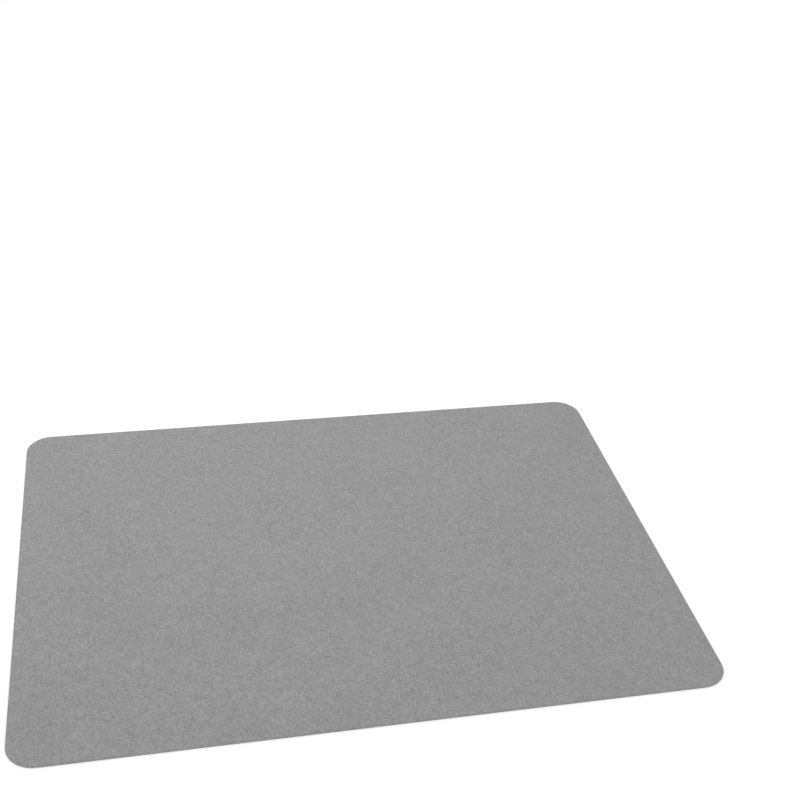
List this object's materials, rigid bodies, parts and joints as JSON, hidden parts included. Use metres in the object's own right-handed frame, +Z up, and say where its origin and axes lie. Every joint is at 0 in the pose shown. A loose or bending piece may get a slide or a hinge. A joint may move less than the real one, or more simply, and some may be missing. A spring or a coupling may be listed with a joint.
{
  "type": "chair mat",
  "caption": "Flat low-pile floor mat with rounded corners: grey felt face on a scrim, bonded to a non-slip rubber backing.",
  "frame": {"origin": "centre of the underside, on the floor", "axes": "+X along the long side, +Y along the short side, away from the user, +Z up out of the felt face"},
  "size_m": [1.2, 0.9, 0.003],
  "materials": {
    "felt": "matte needle-punched polyester felt with a low brushed pile",
    "scrim": "matte open weave",
    "binder": "satin latex film",
    "backing": "matte soft rubber with moulded grip studs"
  },
  "bodies": {
    "root": {"grip_backing": "backing", "binder_film": "binder", "carrier_scrim": "scrim", "felt_face": "felt"}
  },
  "joints": []
}
